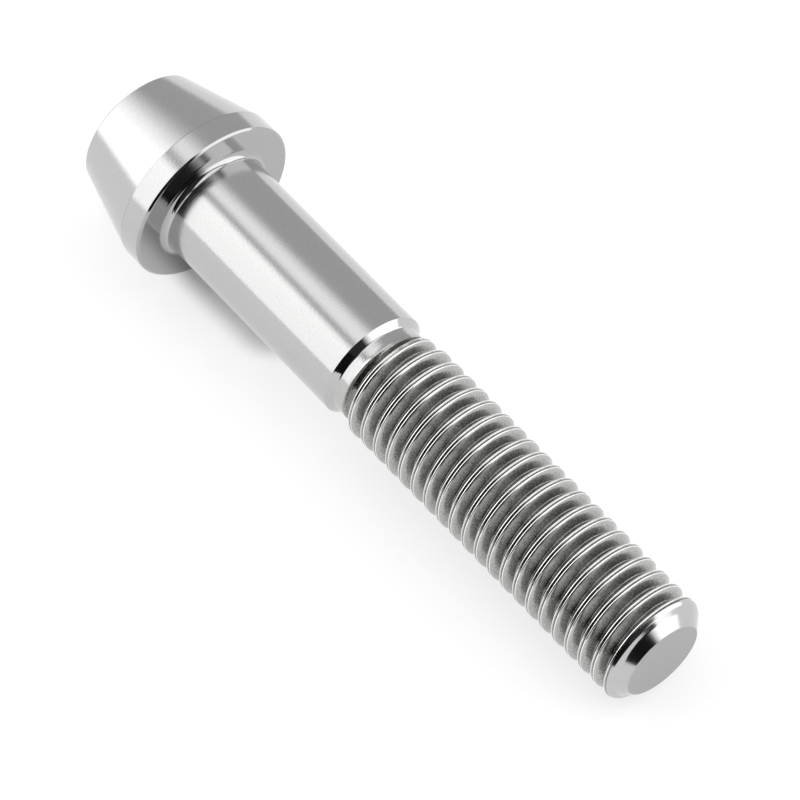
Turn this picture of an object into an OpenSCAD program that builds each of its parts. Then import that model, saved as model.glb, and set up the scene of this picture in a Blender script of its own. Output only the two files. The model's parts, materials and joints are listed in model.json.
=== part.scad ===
// Tapered socket head cap screw, metric coarse thread, lying on a level surface.
// Lengths are in millimetres. The screw is drawn upright in its own axes, with the bearing
// face at height 0 and the tip above it, and is then laid down on its rim and its last crest.

/* [Head] */
// Height of the head above the bearing face
head_h = 7.85; // [6.5:0.05:10]
// Diameter across the drive end, before its edge is broken
top_d = 9.3; // [8.8:0.1:11]
// Diameter of the rim
rim_d = 12.6; // [11.6:0.1:15]
// Length of the straight band round the rim
rim_band = 1.6; // [0.6:0.1:2.5]
// Chamfer between the rim and the bearing face
rim_chamfer = 0.15; // [0.1:0.05:0.6]
// Chamfer on the edge of the drive end
top_edge = 0.15; // [0.05:0.05:0.4]

/* [Socket] */
// Hexagon width across flats
hex_af = 6; // [5:0.1:6.4]
// Depth of the full hexagon below the drive end
hex_depth = 4.5; // [3:0.1:5.5]
// Lead-in chamfer outside the hexagon's corners
hex_lead = 0.2; // [0.1:0.05:0.4]
// Included angle of the drilled bottom
drill_angle = 120; // [110:1:150]

/* [Shank] */
// Length from the bearing face to the tip
length = 45; // [36:1:70]
// Diameter of the plain shank
shank_d = 8; // [7.7:0.05:8.4]
// Length of the plain shank, up to its shoulder
plain_len = 16.6; // [8:0.1:24]
// Fillet between the shank and the bearing face
fillet_r = 0.5; // [0.2:0.05:1]

/* [Thread] */
// Pitch of the right-hand thread
pitch = 1.25; // [1:0.05:1.5]
// Diameter over the crests
crest_d = 7.92; // [7.6:0.02:8]
// Diameter at the roots
root_d = 6.5; // [6.2:0.01:6.7]
// Diameter of the rolling blank, seen at the neck
blank_d = 7.1; // [6.9:0.05:7.3]
// Width of the flat at the roots
root_w = 0.15; // [0.1:0.01:0.3]
// Plain neck between the shoulder and the start of the thread
neck_len = 0.2; // [0.1:0.1:2]
// Number of turns in which the thread reaches its full height
runout_turns = 1.75; // [1:0.25:4]
// Turn of the thread about the screw, to set where it starts
start_angle = 276; // [0:1:360]
// Diameter of the flat end
tip_d = 5.74; // [5:0.02:6.2]
// Steps in one turn of the thread
turn_steps = 24; // [18:6:36]

/* [Hidden] */
$fn = 96;
metal = [0.55, 0.55, 0.54];
half_flank = 30;
sides = 6;
overlap = 1;

// Shoulder and neck, with the shoulder's 45 degree chamfer running a little inside the neck
chamfer_inside = 0.1;
shoulder_end_r = blank_d / 2 - chamfer_inside;
shoulder_end = plain_len + shank_d / 2 - shoulder_end_r;
thread_from = plain_len + (shank_d - blank_d) / 2 + neck_len;

// Socket: the lead-in reaches past the corners and the drill past the flats' inscribed circle
corner_r = hex_af / 2 / cos(180 / sides);
lead_r = corner_r + hex_lead;
drill_r = hex_af / 2;
drill_h = drill_r / tan(drill_angle / 2);

// Thread: grooves numbered from the first, whose centre crosses the angle 0 at groove_0
runout_len = runout_turns * pitch;
groove_0 = thread_from - pitch * (2 + start_angle / 360);
grooves = ceil((length - groove_0) / pitch) + 2;

// Tip: a 45 degree chamfer on the blank; above it the last crest stands proud, down its flank
chamfer_end = length - (blank_d - tip_d) / 2;
tip_clear_r = crest_d;
tip_clear_end = chamfer_end - (tip_clear_r - blank_d / 2) * tan(half_flank);
crest_w = pitch - root_w - (crest_d - root_d) * tan(half_flank);

// Rest: the last whole crest on the underside, and the slope from the rim down to it
full_crest_to = chamfer_end - (crest_d - blank_d) / 2 * tan(half_flank) - crest_w / 2;
last_crest = groove_0 + pitch * (floor((full_crest_to - groove_0) / pitch - 0.5) + 0.5);
rest_s = last_crest + crest_w / 2;
rest_tilt = atan((rim_d - crest_d) / 2 / (rest_s + rim_chamfer));
axis_h = rim_d / 2 * cos(rest_tilt) - rim_chamfer * sin(rest_tilt);
tip_x = length * cos(rest_tilt) + tip_d / 2 * sin(rest_tilt);
top_x = -head_h * cos(rest_tilt) - (top_d / 2 - top_edge) * sin(rest_tilt);

// How far the thread has formed at height s, from 0 on the blank to 1
function formed(s) =
    let (t = min(1, max(0, (s - thread_from) / runout_len)))
    t * t * (3 - 2 * t);

// One groove at one step round the screw: [height, radius] of its four corners
function groove(s) =
    let (f = formed(s),
         crest = (blank_d + f * (crest_d - blank_d)) / 2,
         root = (blank_d - f * (blank_d - root_d)) / 2,
         half_top = root_w / 2 + (crest - root) * tan(half_flank))
    [[s - half_top, crest], [s - root_w / 2, root], [s + root_w / 2, root], [s + half_top, crest]];

// Share of a turn at a step: half a step on, so that a flat lies at angle 0, on the underside
function turn_at(i) = (i + 1 / 2) / turn_steps;

// A corner at a share of a turn; the flats between two steps keep the true radius
function ring_point(turn, corner) =
    let (r = corner[1] / cos(180 / turn_steps))
    [r * cos(360 * turn), r * sin(360 * turn), corner[0]];

// Head and shank as one turned profile, with the radius across and the axis up
module turned_profile() {
    polygon([
        [0, -head_h],
        [top_d / 2 - top_edge, -head_h],
        [top_d / 2, -head_h + top_edge],
        [rim_d / 2, -rim_chamfer - rim_band],
        [rim_d / 2, -rim_chamfer],
        [rim_d / 2 - rim_chamfer, 0],
        [shank_d / 2, 0],
        [shank_d / 2, plain_len],
        [shoulder_end_r, shoulder_end],
        [0, shoulder_end],
    ]);
    difference() {
        translate([shank_d / 2 - fillet_r, -fillet_r])
            square(2 * fillet_r);
        translate([shank_d / 2 + fillet_r, fillet_r])
            circle(fillet_r);
    }
}

// Hexagon socket with its lead-in chamfer and drilled bottom
module socket() {
    translate([0, 0, -head_h]) {
        translate([0, 0, -overlap])
            rotate([0, 0, 180 / sides])
                cylinder(h = hex_depth + overlap, r = corner_r, $fn = sides);
        translate([0, 0, -overlap])
            cylinder(h = lead_r + overlap, r1 = lead_r + overlap, r2 = 0);
        translate([0, 0, hex_depth - overlap])
            cylinder(h = overlap, r = drill_r);
        translate([0, 0, hex_depth])
            cylinder(h = drill_h, r1 = drill_r, r2 = 0);
    }
}

// Rod with the rolled thread, from inside the shank to beyond the tip.
// Each step round the screw holds the corners of every groove; after a full turn
// the rows meet those of the next groove.
module thread_rod() {
    corners = len(groove(groove_0));
    rows = corners * grooves;
    points = [
        for (i = [0 : turn_steps - 1], k = [0 : grooves])
            for (corner = groove(groove_0 + pitch * (k + turn_at(i))))
                ring_point(turn_at(i), corner),
        [0, 0, groove_0 - pitch],
        [0, 0, groove_0 + pitch * (grooves + 2)],
    ];
    column = rows + corners;
    first = len(points) - 2;
    last = len(points) - 1;
    function at(i, j) = i < turn_steps ? i * column + j : j + corners;
    polyhedron(points, [
        for (i = [0 : turn_steps - 1], j = [0 : rows - 2]) each [
            [at(i, j), at(i, j + 1), at(i + 1, j + 1)],
            [at(i, j), at(i + 1, j + 1), at(i + 1, j)],
        ],
        for (i = [0 : turn_steps - 1]) each [
            [first, at(i, 0), at(i + 1, 0)],
            [last, at(i + 1, rows - 1), at(i, rows - 1)],
        ],
        for (j = [0 : corners - 1]) each [
            [first, at(0, j + 1), at(0, j)],
            [last, at(0, rows - 1 + j), at(0, rows + j)],
        ],
    ]);
}

// Space inside the tip's flat end, its chamfer and the end of the last crest
module tip_envelope() {
    rotate_extrude()
        polygon([
            [0, 0],
            [tip_clear_r, 0],
            [tip_clear_r, tip_clear_end],
            [blank_d / 2, chamfer_end],
            [tip_d / 2, length],
            [0, length],
        ]);
}

module cap_screw() {
    color(metal)
        translate([-(tip_x + top_x) / 2, 0, axis_h])
            rotate([0, 90 + rest_tilt, 0]) {
                difference() {
                    rotate_extrude()
                        turned_profile();
                    socket();
                }
                intersection() {
                    thread_rod();
                    tip_envelope();
                }
            }
}

cap_screw();
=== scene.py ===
"""Looks of the tapered socket head cap screw: one turned and thread-rolled piece of bright metal.

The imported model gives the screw's place, its axis and its main sizes. The mesh here repeats the turned
and rolled form with rounded edges, rounded thread roots and the two lips that rolling leaves along each
crest. The form is worked out in millimetres, along its own axis, and is scaled once, in make_mesh. The
stage is in metres.
"""

import json
import math

import bmesh
import bpy
import numpy as np
from mathutils import Matrix, Vector


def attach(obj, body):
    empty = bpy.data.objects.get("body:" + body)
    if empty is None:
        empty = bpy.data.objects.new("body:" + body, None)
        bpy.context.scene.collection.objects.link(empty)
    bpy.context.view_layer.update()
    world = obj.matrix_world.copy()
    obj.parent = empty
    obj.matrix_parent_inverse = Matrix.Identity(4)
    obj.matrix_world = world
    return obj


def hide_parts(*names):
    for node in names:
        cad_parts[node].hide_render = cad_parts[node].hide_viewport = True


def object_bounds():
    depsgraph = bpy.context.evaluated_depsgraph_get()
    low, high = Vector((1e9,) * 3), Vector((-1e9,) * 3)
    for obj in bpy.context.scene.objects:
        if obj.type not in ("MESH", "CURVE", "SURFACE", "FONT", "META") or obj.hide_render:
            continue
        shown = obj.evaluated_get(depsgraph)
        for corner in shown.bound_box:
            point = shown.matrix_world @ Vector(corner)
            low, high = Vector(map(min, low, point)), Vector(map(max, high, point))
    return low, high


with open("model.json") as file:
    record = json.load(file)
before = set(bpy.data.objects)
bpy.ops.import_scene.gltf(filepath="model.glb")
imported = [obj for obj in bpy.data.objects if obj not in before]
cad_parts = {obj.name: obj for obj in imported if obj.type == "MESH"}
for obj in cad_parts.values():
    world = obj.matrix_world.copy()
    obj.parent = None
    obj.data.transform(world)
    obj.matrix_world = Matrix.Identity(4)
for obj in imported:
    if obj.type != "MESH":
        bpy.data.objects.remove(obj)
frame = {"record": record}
cad_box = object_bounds()

NODE = "cap_screw"
BODY = "root"
MM = 0.001

# Place and main sizes from the frame: heights run from the bearing face to the tip
MOUNTS = {mount["name"]: mount for mount in frame["record"]["mounts"]}
AXIS = Vector(MOUNTS["shank"]["axis"]).normalized()
SHANK_AT = Vector(MOUNTS["shank"]["pos_m"])
ORIGIN = SHANK_AT + AXIS * AXIS.dot(Vector(MOUNTS["bearing_face"]["pos_m"]) - SHANK_AT)
SIDE = Vector((0, 1, 0))
LAY = Matrix.Translation(ORIGIN) @ Matrix((SIDE.cross(AXIS), SIDE, AXIS)).transposed().to_4x4()
SHANK_MID = AXIS.dot(SHANK_AT - ORIGIN) / MM
SHANK_HALF = MOUNTS["shank"]["dims"]["length_mm"] / 2
SHANK_R = MOUNTS["shank"]["dims"]["r_mm"]
PLAIN_LEN = SHANK_MID + SHANK_HALF
FILLET_R = SHANK_MID - SHANK_HALF
TOP = AXIS.dot(Vector(MOUNTS["drive_socket"]["pos_m"]) - ORIGIN) / MM

# Rim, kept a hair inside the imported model's box
INSIDE = 0.003
RIM_R = cad_box[1].y / MM - INSIDE

# Head
TOP_R = 4.65
TOP_EDGE = 0.15
RIM_BAND = 1.6
RIM_CHAMFER = 0.15

# Socket
HEX_AF = 6.0
HEX_DEPTH = 4.5
HEX_LEAD = 0.2
HEX_SIDES = 6
DRILL_R = 2.96
DRILL_SLOPE = math.tan(math.radians(30))

# Rounding of the turned edges, and the plain strip beside each rounding that keeps its faces true
EDGE = 0.03
BAND_EDGE = 0.25
FACE_EDGE = 0.04
EDGE_STEPS = 3
FILLET_STEPS = 12
HOLD = 0.02

# Ring between the rim chamfer and the bearing face
FACE_RING = 0.07
FACE_RING_DROP = 0.02

# Finish and painted light of the mesh's points: dull, smooth lips with a painted highlight, polished at
# 0, rolled, or painted shade at the seam and in the roots
DULL = -2.0
# Lips: smooth, with a painted highlight, their colour far brighter than the metal's own
BURNISHED_HIGHLIGHT = -1.0
ROLLED = 1.0
# Painted shade: at this level the colour is near black, painted into the crest seam and partway into the
# thread roots
PAINTED_SHADE = 2.0
# Painted shade: a line in the darker rolled colour along the rim band's edge
BAND_SHADE_LINE = 0.9

# Thread: rounded roots, and a crest with two lips and a seam between them
PITCH = 1.25
CREST_R = 3.96
SEAM_R = 3.86
ROOT_R = 3.25
BLANK_R = 3.55
FLANK = math.radians(30)
ROOT_ROUND = 0.11
LIP_ROUND = 0.07
LIP_FALL = math.radians(35)
ROOT_ARC = np.radians([20, 40, 60])
LIP_ARC = np.linspace(FLANK - math.pi / 2, LIP_FALL, 5)
# The roots are rolled and partway painted shade, darker than the flanks
ROOT_FINISH_AND_SHADE = (1.45, 1.4, 1.35, 1.05)
# The lips go partway to smooth with a painted highlight
LIP_FINISH_AND_HIGHLIGHT = (0.2, -0.6, BURNISHED_HIGHLIGHT, BURNISHED_HIGHLIGHT, 0.3)
SHARP_DEPTH = 0.15
NECK_LEN = 0.2
START_ANGLE = 276
THREAD_FROM = PLAIN_LEN + SHANK_R - BLANK_R + NECK_LEN
GROOVE_0 = THREAD_FROM - PITCH * (2 + START_ANGLE / 360)

# Neck, as the end of the turned body: a hair over the rolled rod, and sunk into it at its end
NECK_R = BLANK_R + 0.004
NECK_FILLET = 0.2
NECK_EDGE = 0.001
NECK_END = THREAD_FROM + 0.03
NECK_INSIDE = 0.2
NECK_FINISH = (ROLLED, ROLLED, 0.8, 0.4, 0)

# Run-out: where the groove, the crest and its seam start, and the turns in which each is formed
GROOVE_FROM = THREAD_FROM + 0.35
GROOVE_TURNS = 0.6
GROOVE_WIDER = 0.4
CREST_FROM = THREAD_FROM + 0.6
CREST_TURNS = 1.0
LIP_RISE = 0.12
SEAM_FROM = THREAD_FROM + 0.75 * PITCH
SEAM_TURNS = 1.0

# Tip: a flat end, the chamfer of the blank down to its foot, and the last crest with its steep brow
TIP_R = 2.87
LENGTH = ((cad_box[1].x - ORIGIN.x) / MM + TIP_R * AXIS.z) / AXIS.x
FOOT_R = 3.52
FOOT_DROP = 0.65
FOOT_EDGE = 0.6
BROW_R = 3.83
BROW_DROP = 0.83
BROW_SWING = 0.12
BROW_ANGLE = math.radians(205)
BROW_EDGE = 0.1
BROW_FALL = math.radians(60)
CLEAR_R = 5.0
LAST_GROOVE = (1.2, 0.85)

# Mesh
COLUMNS = 120
ANGLES = np.arange(COLUMNS) * 2 * math.pi / COLUMNS
SHARP_ANGLE = math.radians(28)
WELD = 0.0002 * MM

# Metal: colours, with painted shade and a painted highlight among them, roughness and fine texture
POLISHED_COLOURS = ((0.49, 0.49, 0.487, 1), (0.52, 0.52, 0.517, 1))
# Rolled flanks: their own mottled tone, darkened beyond it by painted shade in the grooves
ROLLED_SHADED_COLOURS = ((0.28, 0.28, 0.267, 1), (0.47, 0.47, 0.453, 1))
# Painted shade: darker colour on the faces under the head that face the tip
HEAD_SHADE_COLOUR = (0.41, 0.41, 0.408, 1)
# Painted highlight: near-white colour on the crest lips, so that they show as white lines
PAINTED_HIGHLIGHT_COLOUR = (0.9, 0.9, 0.89, 1)
# Near black of the painted shade in the crest seam and, partway, in the roots
PAINTED_SHADE_COLOUR = (0.03, 0.03, 0.03, 1)
DULL_COLOUR = (0.38, 0.38, 0.38, 1)
TURNED_ROUGHNESS = (0.11, 0.16)
CRISP_ROUGHNESS = (0.07, 0.14)
ROLLED_ROUGHNESS = (0.18, 0.28)
BURNISHED_ROUGHNESS = 0.1
DULL_ROUGHNESS = 0.25
ANISOTROPY = 0.75
CRISP_FROM = 0.1
CRISP_TO = 0.4
LINE_SCALE = 9000
LINE_DETAIL = 3
LINE_SHARE = 0.15
GRAIN_SCALE = 11000
GRAIN_DETAIL = 1
MOTTLE_SCALE = 8000
MOTTLE_DETAIL = 3
NOISE_LOW = 0.35
NOISE_HIGH = 0.65
BUMP_DEPTH = 4.0e-6
SMOOTH_BUMP = 0.2

# Camera
CAMERA_AZIMUTH = 50.38
CAMERA_ELEVATION = 53.26
CAMERA_DISTANCE = 0.30485
CAMERA_AIM = Vector((1.148, -0.227, 5.0)) * MM
CAMERA_LENS = 213.22
CAMERA_CLIP = (0.01, 3)
SENSOR = 36.0

# Floor: its paper, the colour and glow of that where it is seen, and the strip under the head where the
# glow is left out, a painted shadow
UP = Vector((0, 0, 1))
FLOOR_SIZE = 1.8
PAPER_COLOUR = (0.93, 0.93, 0.93, 1)
SEEN_COLOUR = (0.42, 0.42, 0.42, 1)
FLOOR_GLOW = 0.66
SHADE_FROM = -0.026
SHADE_TO = -0.012
SHADE_CORE = 0.0017
SHADE_REACH = 0.0037

# Softboxes, front card and room
WALL_DISTANCE = 0.8
CEILING_HEIGHT = 1.0
HARD = 0.01
CARD_COLOUR = (0.01, 0.01, 0.01, 1)
CARD_DISTANCE = 0.043
CARD_LEFT = 0.032
CARD_RIGHT = 0.11
CARD_TURN = 16
CARD_HEIGHT = 0.022
ROOM_BACK = 0.59
ROOM_FRONT = 0.04
ROOM_TURN = (-0.3, 0.5)
ROOM_LEFT = 1.4
LEFT_AZIMUTH = -115
LEFT_TURN = (0.55, 0.9)


def unit(vector):
    return vector / np.linalg.norm(vector)


def arc(centre, start, end, steps):
    """Points from start to end on the arc round centre."""
    a = start - centre
    b = end - centre
    turn = math.acos(unit(a) @ unit(b))
    shares = np.linspace(0, 1, steps + 1)
    return [
        centre + (math.sin((1 - t) * turn) * a + math.sin(t * turn) * b) / math.sin(turn) for t in shares
    ]


def rounded(corners):
    """Outline through corners of (radius, height, rounding), with an arc at each inner corner."""
    points = [np.array(corners[0][:2])]
    for before, corner, after in zip(corners, corners[1:], corners[2:]):
        at = np.array(corner[:2])
        back = unit(np.array(before[:2]) - at)
        on = unit(np.array(after[:2]) - at)
        half = math.acos(back @ on) / 2
        reach = corner[2] / math.tan(half)
        centre = at + unit(back + on) * corner[2] / math.sin(half)
        steps = FILLET_STEPS if corner[2] in (FILLET_R, NECK_FILLET) else EDGE_STEPS
        points.append(at + back * (reach + HOLD))
        points += arc(centre, at + back * reach, at + on * reach, steps)
        points.append(at + on * (reach + HOLD))
    points.append(np.array(corners[-1][:2]))
    return np.array(points)


def make_mesh(name, points, faces, finish_and_painted_light):
    """Object from points in millimetres, with the finish of each point."""
    mesh = bpy.data.meshes.new(name)
    mesh.from_pydata(points * MM, [], faces)
    layer = mesh.attributes.new("finish_and_painted_light", "FLOAT", "POINT")
    layer.data.foreach_set("value", finish_and_painted_light.astype(np.float32))
    made = bpy.data.objects.new(name, mesh)
    bpy.context.scene.collection.objects.link(made)
    return made


def ring_points(radii, heights):
    """Points round the axis, one row for each row of radii and heights."""
    return np.stack([radii * np.cos(ANGLES), radii * np.sin(ANGLES), heights], axis=-1)


def revolve(name, rows, first_height, last_height, finish_and_painted_light):
    """Closed mesh from rows of points round the axis, with a point on the axis at each end."""
    count = len(rows)
    points = np.concatenate([rows.reshape(-1, 3), [(0, 0, first_height), (0, 0, last_height)]])
    first = count * COLUMNS
    last = first + 1
    faces = []
    for i in range(COLUMNS):
        n = (i + 1) % COLUMNS
        for j in range(count - 1):
            low = j * COLUMNS
            high = low + COLUMNS
            faces.append((low + i, low + n, high + n, high + i))
        faces.append((first, n, i))
        faces.append((last - 1 - COLUMNS + i, last - 1 - COLUMNS + n, last))
    return make_mesh(name, points, faces, finish_and_painted_light)


def plain_rows(outline):
    """Rows of a revolved outline of (radius, height)."""
    return np.array([ring_points(np.full(COLUMNS, r), np.full(COLUMNS, h)) for r, h in outline])


def socket_rows():
    """Rows of the socket: drilled bottom, hexagon walls, and the line where the lead-in meets them."""
    sector = 2 * math.pi / HEX_SIDES
    off_flat = (ANGLES + sector / 2) % sector - sector / 2
    hexagon = HEX_AF / 2 / np.cos(off_flat)
    bottom = np.full(COLUMNS, TOP + HEX_DEPTH)
    lead_r = HEX_AF / 2 / math.cos(sector / 2) + HEX_LEAD
    return np.array([
        ring_points(np.full(COLUMNS, DRILL_R), bottom),
        ring_points(hexagon, bottom),
        ring_points(hexagon, TOP + lead_r - hexagon),
    ])


def turned_body():
    """Head with its socket, and the plain shank with its shoulder and neck."""
    corner_r = HEX_AF / 2 / math.cos(math.pi / HEX_SIDES)
    body_end = NECK_END + NECK_INSIDE * math.tan(FLANK)
    outline = rounded([
        (corner_r, TOP + HEX_LEAD, 0),
        (corner_r + HEX_LEAD, TOP, EDGE),
        (TOP_R - TOP_EDGE, TOP, EDGE),
        (TOP_R, TOP + TOP_EDGE, EDGE),
        (RIM_R, -RIM_CHAMFER - RIM_BAND, BAND_EDGE),
        (RIM_R, -RIM_CHAMFER, EDGE),
        (RIM_R - RIM_CHAMFER + FACE_RING_DROP, -FACE_RING_DROP, FACE_EDGE),
        (RIM_R - RIM_CHAMFER + FACE_RING_DROP - FACE_RING, 0, FACE_EDGE),
        (SHANK_R, 0, FILLET_R),
        (SHANK_R, PLAIN_LEN, EDGE),
        (NECK_R, PLAIN_LEN + SHANK_R - NECK_R, NECK_FILLET),
        (NECK_R, NECK_END, NECK_EDGE),
        (NECK_R - NECK_INSIDE, body_end, 0),
    ])
    rows = np.concatenate([socket_rows(), plain_rows(outline[1:])])
    # Rows on the band's edge get the painted shade line
    on_edge = np.abs(rows[:, 0, 2] + RIM_CHAMFER + RIM_BAND) < EDGE
    finish_and_painted_light = np.append(np.repeat(np.where(on_edge, BAND_SHADE_LINE, 0), COLUMNS), (0, 0))
    drill_tip = TOP + HEX_DEPTH + DRILL_R * DRILL_SLOPE
    return revolve("turned_body", rows, drill_tip, body_end, finish_and_painted_light)


def formed(height, start, turns):
    """How far a part of the thread has formed at a height, from 0 on the blank to 1."""
    share = np.clip((height - start) / (turns * PITCH), 0, 1)
    return share * share * (3 - 2 * share)


def thread_half(centre, side):
    """One side of a groove, from its root to the lip on its crest: offsets, radii and finish."""
    height = centre + side * PITCH / 4
    pressed = formed(height, GROOVE_FROM, GROOVE_TURNS)
    risen = formed(centre + side * PITCH / 2, CREST_FROM, CREST_TURNS)
    root = BLANK_R + (ROOT_R - BLANK_R) * pressed
    crest = BLANK_R + (CREST_R - BLANK_R) * risen
    wider = GROOVE_WIDER * pressed * (1 - risen) if side < 0 else 0
    sharp = np.clip((crest - root) / SHARP_DEPTH, 0, 1)
    root_round = ROOT_ROUND * sharp
    lip_round = LIP_ROUND * sharp
    flank_rise = crest - root - root_round * math.sin(FLANK)
    corner = root_round * math.cos(FLANK) + flank_rise * math.tan(FLANK)
    lip_at = corner + lip_round * math.tan(FLANK)
    offsets = [root_round * math.sin(a) for a in ROOT_ARC]
    radii = [root + root_round * (1 - math.cos(a)) for a in ROOT_ARC]
    lip_offsets = [lip_at + lip_round * math.sin(b) for b in LIP_ARC]
    lip_radii = [crest - lip_round * (1 - math.cos(b)) for b in LIP_ARC]
    offsets += [(offsets[-1] + lip_offsets[0]) / 2, *lip_offsets]
    radii += [(radii[-1] + lip_radii[0]) / 2, *lip_radii]
    raised = np.clip((crest - BLANK_R) / LIP_RISE, 0, 1)
    finish_and_painted_light = [sharp * share for share in ROOT_FINISH_AND_SHADE]
    finish_and_painted_light += [sharp * (neck + (lip - neck) * raised) for lip, neck in zip(LIP_FINISH_AND_HIGHLIGHT, NECK_FINISH)]
    even = [PITCH / 2 * (k + 1) / (len(offsets) + 1) for k in range(len(offsets))]
    offsets = [e + (d + wider - e) * sharp for e, d in zip(even, offsets)]
    return side * np.array(offsets), np.array(radii), np.array(finish_and_painted_light)


def thread_grid(grooves):
    """Heights, radii and finish of the rolled rod: one column of groove after groove for each angle."""
    turn = np.arange(COLUMNS)[:, None] / COLUMNS + np.arange(grooves + 1)[None, :]
    centre = GROOVE_0 + PITCH * turn
    seam = formed(centre - PITCH / 2, SEAM_FROM, SEAM_TURNS)
    crest = BLANK_R + (CREST_R - BLANK_R) * formed(centre - PITCH / 2, CREST_FROM, CREST_TURNS)
    left_at, left_r, left_finish_and_painted_light = thread_half(centre, -1)
    right_at, right_r, right_finish_and_painted_light = thread_half(centre, 1)
    groove = formed(centre, GROOVE_FROM, GROOVE_TURNS)
    middle = np.zeros((1, *centre.shape))
    offsets = np.concatenate([middle - PITCH / 2, left_at[::-1], middle, right_at])
    radii = np.concatenate([
        [crest - (CREST_R - SEAM_R) * seam], left_r[::-1],
        [BLANK_R + (ROOT_R - BLANK_R) * groove], right_r,
    ])
    # The seam and the root take painted shade here
    finish_and_painted_light = np.concatenate([[PAINTED_SHADE * seam], left_finish_and_painted_light[::-1], [ROOT_FINISH_AND_SHADE[0] * groove], right_finish_and_painted_light])
    filled = np.interp(centre, [LENGTH - drop for drop in LAST_GROOVE], (0, 1))
    finish_and_painted_light[1:] *= 1 - filled
    radii[1:] += (CREST_R - radii[1:]) * filled
    grids = (centre + offsets, radii, finish_and_painted_light)
    return [np.moveaxis(grid, 0, -1).reshape(COLUMNS, -1) for grid in grids], len(offsets)


def thread_rod():
    """Closed rod with the rolled thread, from inside the shank to beyond the tip."""
    grooves = math.ceil((LENGTH - GROOVE_0) / PITCH) + 2
    (heights, radii, finish_and_painted_light), per_groove = thread_grid(grooves)
    column = heights.shape[1]
    rows = column - per_groove
    angles = ANGLES[:, None]
    points = np.stack([radii * np.cos(angles), radii * np.sin(angles), heights], axis=-1).reshape(-1, 3)
    ends = [(0, 0, GROOVE_0 - PITCH), (0, 0, GROOVE_0 + PITCH * (grooves + 2))]
    first = len(points)
    last = first + 1

    def at(i, j):
        return i * column + j if i < COLUMNS else j + per_groove

    faces = [
        (at(i, j), at(i + 1, j), at(i + 1, j + 1), at(i, j + 1))
        for i in range(COLUMNS) for j in range(rows - 1)
    ]
    for tip, row, order in ((first, 0, -1), (last, rows - 1, 1)):
        loop = [at(i, row) for i in range(COLUMNS)] + [row + per_groove - k for k in range(per_groove)]
        for a, b in zip(loop, loop[1:] + loop[:1]):
            faces.append((tip, a, b)[::order])
    finish_and_painted_light = np.concatenate([finish_and_painted_light.reshape(-1), [0, 0]])
    return make_mesh("thread_rod", np.concatenate([points, ends]), faces, finish_and_painted_light)


def tip_envelope():
    """Space inside the tip: flat end, chamfer and the last crest's side, down to the bearing face."""
    outlines = []
    for brow in LENGTH - BROW_DROP + BROW_SWING * np.sin(ANGLES - BROW_ANGLE):
        outlines.append(rounded([
            (CLEAR_R, 0, 0),
            (CLEAR_R, brow - (CLEAR_R - BROW_R) * math.tan(BROW_FALL), EDGE),
            (BROW_R, brow, BROW_EDGE),
            (FOOT_R, LENGTH - FOOT_DROP, FOOT_EDGE),
            (TIP_R, LENGTH, EDGE),
            (0, LENGTH, 0),
        ])[:-1])
    radii, heights = np.moveaxis(outlines, (2, 1, 0), (0, 1, 2))
    finish_and_painted_light = np.repeat(np.where(heights[:, 0] == LENGTH, DULL, 0), COLUMNS)
    return revolve("tip_envelope", ring_points(radii, heights), 0, LENGTH, np.append(finish_and_painted_light, (0, DULL)))


def combine(base, other, operation):
    """Replaces base by its union or intersection with other, which is removed."""
    cut = base.modifiers.new(operation, "BOOLEAN")
    cut.operation = operation
    cut.solver = "MANIFOLD"
    cut.object = other
    ready = base.evaluated_get(bpy.context.evaluated_depsgraph_get())
    mesh = bpy.data.meshes.new_from_object(ready)
    base.modifiers.clear()
    base.data = mesh
    bpy.data.objects.remove(other)
    return base


def weld(made):
    """Closes the slivers that the booleans leave, and takes out faces that are folded on each other."""
    mesh = bmesh.new()
    mesh.from_mesh(made.data)
    bmesh.ops.remove_doubles(mesh, verts=mesh.verts, dist=WELD)
    bmesh.ops.dissolve_degenerate(mesh, dist=WELD, edges=mesh.edges)
    bmesh.ops.triangulate(mesh, faces=mesh.faces)
    on_corners = {}
    for face in mesh.faces:
        on_corners.setdefault(frozenset(face.verts), []).append(face)
    folded = [face for faces in on_corners.values() if len(faces) > 1 for face in faces]
    bmesh.ops.delete(mesh, geom=folded, context="FACES_ONLY")
    mesh.to_mesh(made.data)
    mesh.free()


def make_node(tree, kind, inputs=None, **settings):
    """Adds a node with its settings; an input is a value or the socket that feeds it."""
    made = tree.nodes.new(kind)
    for name, value in settings.items():
        setattr(made, name, value)
    for key, value in (inputs or {}).items():
        if isinstance(value, bpy.types.NodeSocket):
            tree.links.new(value, made.inputs[key])
        else:
            made.inputs[key].default_value = value
    return made


def new_material(name):
    """Empty node material, with its tree and its output node."""
    material = bpy.data.materials.new(name)
    material.use_nodes = True
    tree = material.node_tree
    tree.nodes.clear()
    return material, tree, tree.nodes.new("ShaderNodeOutputMaterial")


def math_node(tree, operation, a, b):
    return make_node(tree, "ShaderNodeMath", {0: a, 1: b}, operation=operation).outputs[0]


def step(tree, value, start, end, low=0.0, high=1.0):
    """Soft step from low to high, while value goes from start to end."""
    return make_node(tree, "ShaderNodeMapRange", {
        "Value": value, "From Min": start, "From Max": end, "To Min": low, "To Max": high,
    }, interpolation_type="SMOOTHSTEP").outputs[0]


def ramp(tree, value, start, end):
    """Share from 0 to 1, while value goes from start to end."""
    return make_node(tree, "ShaderNodeMapRange", {
        "Value": value, "From Min": start, "From Max": end,
    }).outputs[0]


def blend_value(tree, share, low, high):
    """Value that goes from low to high with share."""
    made = make_node(tree, "ShaderNodeMix", {"Factor": share, 2: low, 3: high}, data_type="FLOAT")
    return made.outputs[0]


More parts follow.
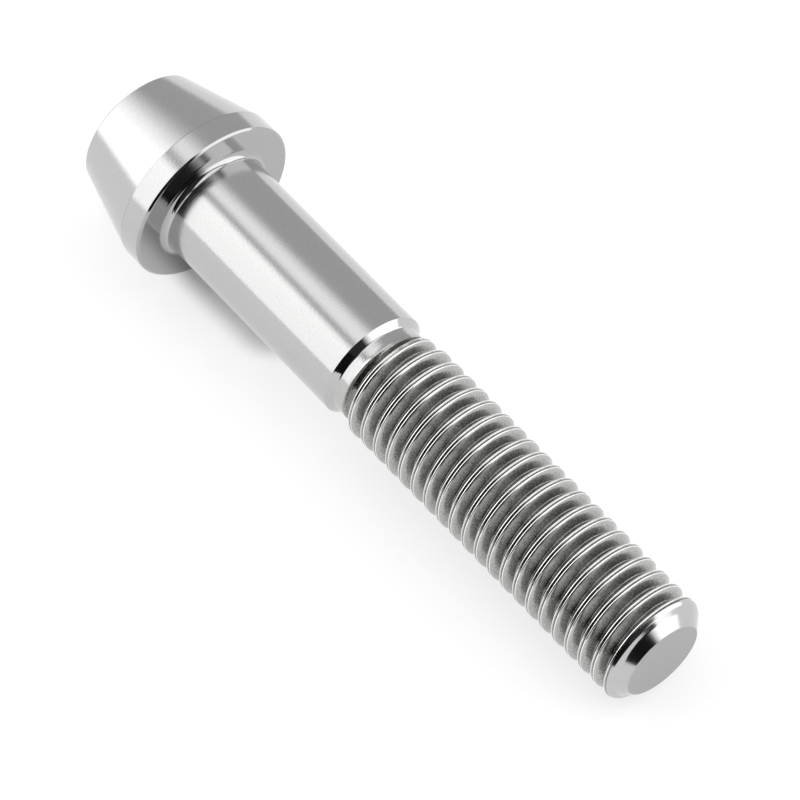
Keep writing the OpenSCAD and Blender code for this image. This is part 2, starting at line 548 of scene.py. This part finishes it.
def blend_colour(tree, share, low, high):
    """Colour that goes from low to high with share."""
    made = make_node(tree, "ShaderNodeMix", {"Factor": share, 6: low, 7: high}, data_type="RGBA")
    return made.outputs[2]


def noise(tree, place, scale, detail):
    inputs = {"Vector": place, "Scale": scale, "Detail": detail}
    return make_node(tree, "ShaderNodeTexNoise", inputs).outputs[0]


def vector_node(tree, operation, a, b):
    return make_node(tree, "ShaderNodeVectorMath", {0: a, 1: b}, operation=operation)


def across_lines(tree):
    """Direction on the surface across the turning lines, along which they spread a reflection."""
    geometry = make_node(tree, "ShaderNodeNewGeometry")
    arm = vector_node(tree, "SUBTRACT", geometry.outputs["Position"], ORIGIN).outputs[0]
    round_axis = vector_node(tree, "CROSS_PRODUCT", AXIS, arm).outputs[0]
    return vector_node(tree, "CROSS_PRODUCT", round_axis, geometry.outputs["Normal"]).outputs[0]


def facing_tip(tree):
    """Share from 0 on the turned sides to 1 on the faces, fillet and chamfers that face the tip."""
    normal = make_node(tree, "ShaderNodeNewGeometry").outputs["Normal"]
    cosine = vector_node(tree, "DOT_PRODUCT", normal, AXIS).outputs["Value"]
    return step(tree, cosine, CRISP_FROM, CRISP_TO)


def length_of(tree, x, y):
    """Length of the vector with the parts x and y."""
    vector = make_node(tree, "ShaderNodeCombineXYZ", {0: x, 1: y}).outputs[0]
    return make_node(tree, "ShaderNodeVectorMath", {0: vector}, operation="LENGTH").outputs["Value"]


def metal():
    """Bright turned metal: rolled and mottled on the thread's flanks, smooth along its lips. Painted
    shade darkens the seams, roots and flanks, the faces under the head and a line at the band edge; a
    painted highlight brightens the lips.
    """
    material, tree, output = new_material("turned_titanium")
    place = make_node(tree, "ShaderNodeMapping", {
        "Vector": make_node(tree, "ShaderNodeTexCoord").outputs["Object"],
        "Location": LAY.translation, "Rotation": LAY.to_euler(),
    }, vector_type="TEXTURE").outputs[0]
    parts = make_node(tree, "ShaderNodeSeparateXYZ", {0: place}).outputs
    along = math_node(tree, "ADD", length_of(tree, parts[0], parts[1]), parts[2])
    inputs = {"W": along, "Scale": LINE_SCALE, "Detail": LINE_DETAIL}
    lines = make_node(tree, "ShaderNodeTexNoise", inputs, noise_dimensions="1D").outputs[0]
    grain = noise(tree, place, GRAIN_SCALE, GRAIN_DETAIL)
    specks = step(tree, grain, NOISE_LOW, NOISE_HIGH)
    spots = step(tree, noise(tree, place, MOTTLE_SCALE, MOTTLE_DETAIL), NOISE_LOW, NOISE_HIGH)

    finish_and_painted_light = make_node(tree, "ShaderNodeAttribute", attribute_name="finish_and_painted_light").outputs["Fac"]
    burnished_highlight = ramp(tree, finish_and_painted_light, 0, BURNISHED_HIGHLIGHT)
    dull = ramp(tree, finish_and_painted_light, BURNISHED_HIGHLIGHT, DULL)
    rolled = ramp(tree, finish_and_painted_light, 0, ROLLED)
    dark = ramp(tree, finish_and_painted_light, ROLLED, PAINTED_SHADE)
    crisp = facing_tip(tree)
    under_head = step(tree, parts[2], FILLET_R * MM, FACE_EDGE * MM)
    tip_side = step(tree, parts[2], PLAIN_LEN * MM, LENGTH * MM)

    # Painted shade under the head: its faces towards the tip are darker
    under_head_shade = math_node(tree, "MULTIPLY", crisp, under_head)
    colour = blend_colour(tree, specks, *POLISHED_COLOURS)
    colour = blend_colour(tree, under_head_shade, colour, HEAD_SHADE_COLOUR)
    # The rolled flanks: mottled tone of their own, partly painted shade of the grooves
    colour = blend_colour(tree, rolled, colour, blend_colour(tree, spots, *ROLLED_SHADED_COLOURS))
    # Painted highlight: bright colour along the crest lips
    colour = blend_colour(tree, burnished_highlight, colour, PAINTED_HIGHLIGHT_COLOUR)
    # Painted shade: near black in the crest seam, darker in the thread roots
    colour = blend_colour(tree, dark, colour, PAINTED_SHADE_COLOUR)
    colour = blend_colour(tree, dull, colour, DULL_COLOUR)

    turned = blend_value(tree, lines, *TURNED_ROUGHNESS)
    roughness = blend_value(tree, crisp, turned, blend_value(tree, tip_side, *CRISP_ROUGHNESS))
    roughness = blend_value(tree, burnished_highlight, roughness, BURNISHED_ROUGHNESS)
    roughness = blend_value(tree, dull, roughness, DULL_ROUGHNESS)
    roughness = blend_value(tree, rolled, roughness, blend_value(tree, spots, *ROLLED_ROUGHNESS))

    fine = math_node(tree, "ADD", math_node(tree, "MULTIPLY", lines, LINE_SHARE), grain)
    level = blend_value(tree, math_node(tree, "MAXIMUM", crisp, burnished_highlight), 1.0, SMOOTH_BUMP)
    height = math_node(tree, "MULTIPLY", fine, level)
    bump = make_node(tree, "ShaderNodeBump", {"Height": height, "Strength": 1.0, "Distance": BUMP_DEPTH})
    shader = make_node(tree, "ShaderNodeBsdfPrincipled", {
        "Base Color": colour, "Metallic": 1.0, "Roughness": roughness, "Normal": bump.outputs[0],
        "Anisotropic": blend_value(tree, math_node(tree, "MAXIMUM", crisp, rolled), ANISOTROPY, 0.0),
        "Tangent": across_lines(tree),
    })
    tree.links.new(shader.outputs[0], output.inputs["Surface"])
    return material


def screw():
    """The whole screw as one mesh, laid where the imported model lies."""
    made = combine(thread_rod(), tip_envelope(), "INTERSECT")
    made = combine(turned_body(), made, "UNION")
    made.name = "screw"
    weld(made)
    made.data.transform(LAY)
    made.data.shade_smooth()
    made.data.set_sharp_from_angle(angle=SHARP_ANGLE)
    made.data.materials.clear()
    made.data.materials.append(metal())
    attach(made, BODY)
    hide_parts(NODE)


def bearing(azimuth):
    """Level unit vector from the screw towards an azimuth from the camera's own."""
    turn = math.radians(CAMERA_AZIMUTH + azimuth)
    return Vector((math.sin(turn), -math.cos(turn), 0))


def plane(name, centre, across, rise, material):
    """Rectangle of the stage, given by its centre and its two sides."""
    shares = ((0, 0), (1, 0), (1, 1), (0, 1))
    corners = [centre + across * (u - 0.5) + rise * (v - 0.5) for u, v in shares]
    mesh = bpy.data.meshes.new(name)
    mesh.from_pydata(corners, [], [(0, 1, 2, 3)])
    layer = mesh.uv_layers.new(name="sides")
    for corner, share in zip(layer.data, shares):
        corner.uv = share
    mesh.materials.append(material)
    made = bpy.data.objects.new(name, mesh)
    bpy.context.scene.collection.objects.link(made)
    return made


def clear_of_shade(tree):
    """Share from 0 under the head and shank, where they shade the floor, to 1 beside them; the glow left
    out there is a painted shadow.
    """
    position = make_node(tree, "ShaderNodeNewGeometry").outputs["Position"]
    place = make_node(tree, "ShaderNodeSeparateXYZ", {0: position}).outputs
    middle = math_node(tree, "SUBTRACT", place[0], (SHADE_FROM + SHADE_TO) / 2)
    past = math_node(
        tree, "SUBTRACT", math_node(tree, "ABSOLUTE", middle, 0.0), (SHADE_TO - SHADE_FROM) / 2
    )
    away = length_of(tree, math_node(tree, "MAXIMUM", past, 0.0), place[1])
    return step(tree, away, SHADE_CORE, SHADE_REACH)


def paper():
    """White paper of the floor: part of its white is its own where it is seen, so its shadow is faint."""
    material, tree, output = new_material("floor_paper")
    path = make_node(tree, "ShaderNodeLightPath")
    seen = math_node(tree, "MAXIMUM", path.outputs["Is Camera Ray"], path.outputs["Is Glossy Ray"])
    seen = math_node(tree, "MAXIMUM", seen, path.outputs["Is Transmission Ray"])
    # Painted shadow: the floor's glow is left out in a strip under the head and shank
    seen = math_node(tree, "MULTIPLY", seen, clear_of_shade(tree))
    lit = make_node(tree, "ShaderNodeBsdfDiffuse", {
        "Color": blend_colour(tree, seen, PAPER_COLOUR, SEEN_COLOUR),
    })
    white = make_node(tree, "ShaderNodeEmission", {
        "Strength": math_node(tree, "MULTIPLY", seen, FLOOR_GLOW),
    })
    shader = make_node(tree, "ShaderNodeAddShader", {0: lit.outputs[0], 1: white.outputs[0]})
    tree.links.new(shader.outputs[0], output.inputs["Surface"])
    return material


def glow(name, radiance, soft):
    """White light of a softbox, from one end's radiance to the other's, fading out at its sides."""
    material, tree, output = new_material(name)
    place = make_node(tree, "ShaderNodeTexCoord").outputs["UV"]
    u, v, _ = make_node(tree, "ShaderNodeSeparateXYZ", {0: place}).outputs
    sides = ((u, 0, soft[0]), (u, 1, 1 - soft[1]), (v, 0, soft[2]), (v, 1, 1 - soft[3]))
    share = 1.0
    for value, start, end in sides:
        share = math_node(tree, "MULTIPLY", share, step(tree, value, start, end))
    clear = make_node(tree, "ShaderNodeBsdfTransparent")
    light = make_node(tree, "ShaderNodeEmission", {"Strength": blend_value(tree, u, *radiance)})
    shader = make_node(tree, "ShaderNodeMixShader", {0: share, 1: clear.outputs[0], 2: light.outputs[0]})
    tree.links.new(shader.outputs[0], output.inputs["Surface"])
    return material


def black_card():
    """Dull black of the card in front of the screw."""
    material, tree, output = new_material("black_card")
    shader = make_node(tree, "ShaderNodeBsdfDiffuse", {"Color": CARD_COLOUR})
    tree.links.new(shader.outputs[0], output.inputs["Surface"])
    return material


def wall_panel(name, azimuth, front, back, low, high, radiance, soft):
    """Upright softbox at an azimuth from the camera, with its reach to front and back and its heights."""
    out = bearing(azimuth)
    to_back = out.cross(UP)
    if to_back.dot(bearing(0)) > 0:
        to_back = -to_back
    centre = out * WALL_DISTANCE + to_back * (back - front) / 2 + UP * (low + high) / 2
    light = glow(name, radiance, soft)
    made = plane(name, centre, to_back * (front + back), UP * (high - low), light)
    made.visible_camera = False


def ceiling_panel(name, left, right, front, back, radiance, soft):
    """Level softbox overhead, with its reach to each side as the camera sees it."""
    to_back = bearing(180)
    to_right = bearing(90)
    centre = UP * CEILING_HEIGHT + to_right * (right - left) / 2 + to_back * (back - front) / 2
    light = glow(name, radiance, soft)
    made = plane(name, centre, to_right * (left + right), to_back * (front + back), light)
    made.visible_camera = False


def front_card():
    """Black card outside the picture, which only reflections show: the dark side of bright edges."""
    along = bearing(90 - CARD_TURN)
    centre = bearing(0) * CARD_DISTANCE + along * (CARD_RIGHT - CARD_LEFT) / 2 + UP * CARD_HEIGHT / 2
    made = plane("front_card", centre, along * (CARD_RIGHT + CARD_LEFT), UP * CARD_HEIGHT, black_card())
    made.visible_camera = False
    made.visible_diffuse = False
    made.visible_shadow = False


def room():
    """Plain room: grey behind the screw, dark towards the camera, lit up beside the left softbox."""
    world = bpy.data.worlds.new("room")
    world.use_nodes = True
    tree = world.node_tree
    tree.nodes.clear()
    output = tree.nodes.new("ShaderNodeOutputWorld")
    direction = make_node(tree, "ShaderNodeTexCoord").outputs["Generated"]

    def towards(azimuth):
        return vector_node(tree, "DOT_PRODUCT", direction, bearing(azimuth)).outputs["Value"]

    depth = step(tree, towards(0), *ROOM_TURN, ROOM_BACK, ROOM_FRONT)
    left = step(tree, towards(LEFT_AZIMUTH), *LEFT_TURN, 0.0, ROOM_LEFT)
    strength = math_node(tree, "ADD", depth, left)
    shader = make_node(tree, "ShaderNodeBackground", {"Color": (1, 1, 1, 1), "Strength": strength})
    tree.links.new(shader.outputs[0], output.inputs["Surface"])
    bpy.context.scene.world = world


def stage():
    """Floor, softboxes, card and room."""
    plane("floor", Vector(), Vector((FLOOR_SIZE, 0, 0)), Vector((0, FLOOR_SIZE, 0)), paper())
    wall_panel(
        "left_softbox", azimuth=-92, front=0.95, back=0.5, low=0.0, high=1.3,
        radiance=(1.17, 2.33), soft=(0.3, 0.1, HARD, 0.31),
    )
    wall_panel(
        "right_softbox", azimuth=88, front=0.89, back=0.7, low=0.0, high=0.95,
        radiance=(2.1, 2.1), soft=(0.27, 0.1, HARD, 0.2),
    )
    ceiling_panel(
        "top_softbox", left=0.64, right=0.75, front=0.55, back=0.65,
        radiance=(1.48, 1.48), soft=(0.17, 0.15, 0.25, 0.26),
    )
    front_card()
    room()


def camera():
    """Camera at the photograph's angle and distance."""
    elevation = math.radians(CAMERA_ELEVATION)
    back = bearing(0) * math.cos(elevation) + UP * math.sin(elevation)
    data = bpy.data.cameras.new("camera")
    data.lens = CAMERA_LENS
    data.sensor_width = SENSOR
    data.clip_start, data.clip_end = CAMERA_CLIP
    made = bpy.data.objects.new("camera", data)
    made.location = CAMERA_AIM + back * CAMERA_DISTANCE
    made.rotation_mode = "QUATERNION"
    made.rotation_quaternion = (-back).to_track_quat("-Z", "Y")
    bpy.context.scene.collection.objects.link(made)
    bpy.context.scene.camera = made


camera()
screw()
stage()
bpy.context.scene.view_settings.view_transform = "Standard"

bpy.context.view_layer.update()
